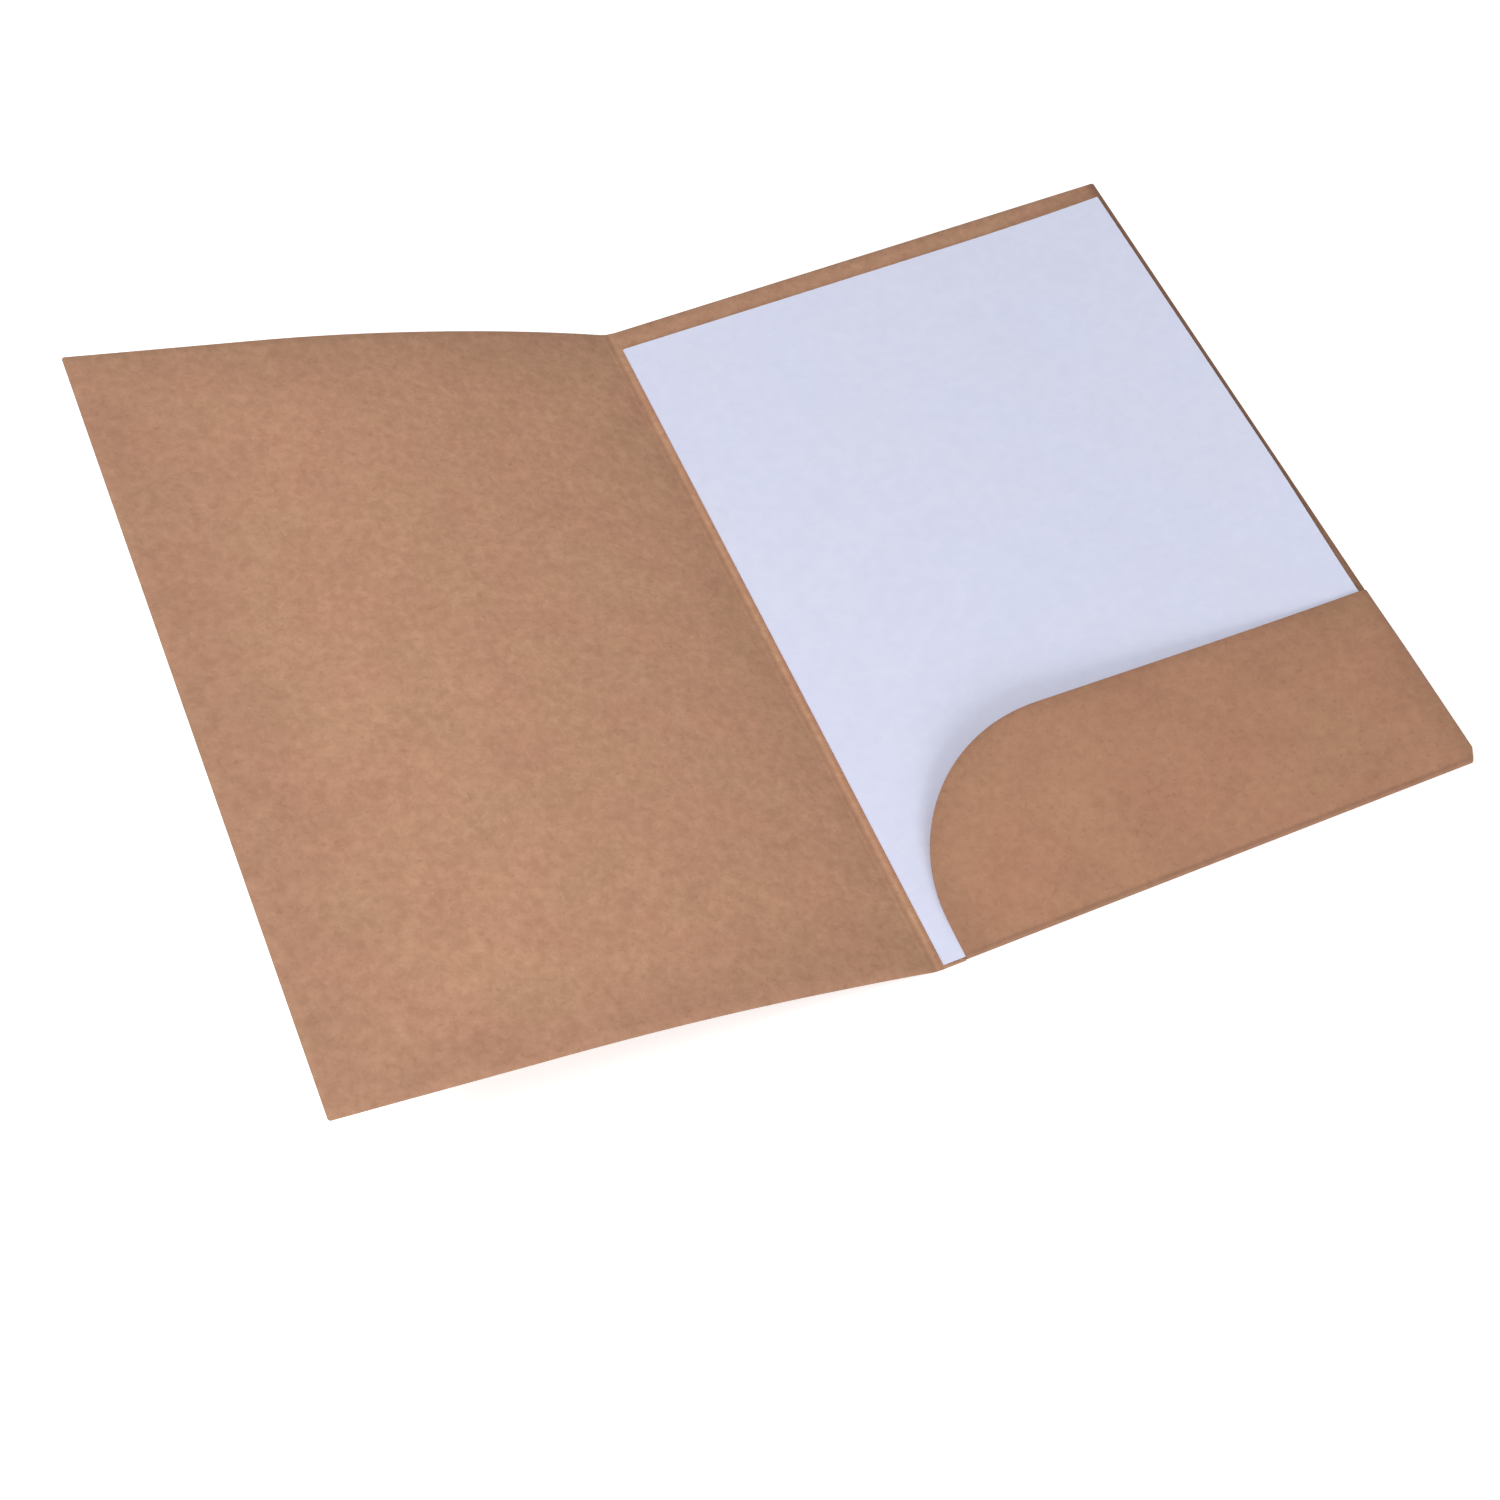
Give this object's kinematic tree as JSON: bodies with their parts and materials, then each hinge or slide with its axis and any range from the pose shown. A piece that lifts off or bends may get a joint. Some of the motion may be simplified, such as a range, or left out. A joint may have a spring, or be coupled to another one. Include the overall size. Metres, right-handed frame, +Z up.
{
  "type": "pocket folder",
  "caption": "Open document folder of creased kraft board with a round-cornered pocket at the foot of the back cover, holding loose paper sheets.",
  "frame": {"origin": "middle of the back cover's outer face, between the spine crease and the fore edge and between the foot and the head", "axes": "+X from the spine to the back cover's fore edge, +Y from the foot to the head, +Z up out of the back cover's inner face"},
  "size_m": [0.4241, 0.308, 0.0773],
  "materials": {
    "kraft_board": "uncoated brown kraft board with fine fibres",
    "white_paper": "uncoated white office paper",
    "paper_glue": "dry glue film"
  },
  "bodies": {
    "back": {"back_cover": "kraft_board", "foot_fold": "kraft_board", "side_fold": "kraft_board", "pocket_flap": "kraft_board", "glue_tab": "kraft_board", "glue_line": "paper_glue"},
    "spine": {"spine_strip": "kraft_board"},
    "front": {"front_cover": "kraft_board"},
    "sheet_1": {"sheet_1": "white_paper"},
    "sheet_2": {"sheet_2": "white_paper"},
    "sheet_3": {"sheet_3": "white_paper"},
    "sheet_4": {"sheet_4": "white_paper"},
    "sheet_5": {"sheet_5": "white_paper"}
  },
  "joints": [
    {"name": "spine_fold", "type": "hinge", "parent": "back", "child": "spine", "pos_m": [-0.1075, 0, 0.0005], "axis": [0, 1, 0], "range_deg": [-8, 73]},
    {"name": "cover_fold", "type": "hinge", "parent": "spine", "child": "front", "pos_m": [-0.11042, 0, 0.00117], "axis": [0, 1, 0], "range_deg": [-8, 73]},
    {"name": "sheet_1_pull", "type": "slide", "parent": "back", "child": "sheet_1", "axis": [0, 1, 0], "range_m": [0, 0.31]},
    {"name": "sheet_2_pull", "type": "slide", "parent": "back", "child": "sheet_2", "axis": [0, 1, 0], "range_m": [0, 0.31]},
    {"name": "sheet_3_pull", "type": "slide", "parent": "back", "child": "sheet_3", "axis": [0, 1, 0], "range_m": [0, 0.31]},
    {"name": "sheet_4_pull", "type": "slide", "parent": "back", "child": "sheet_4", "axis": [0, 1, 0], "range_m": [0, 0.31]},
    {"name": "sheet_5_pull", "type": "slide", "parent": "back", "child": "sheet_5", "axis": [0, 1, 0], "range_m": [0, 0.31]}
  ]
}
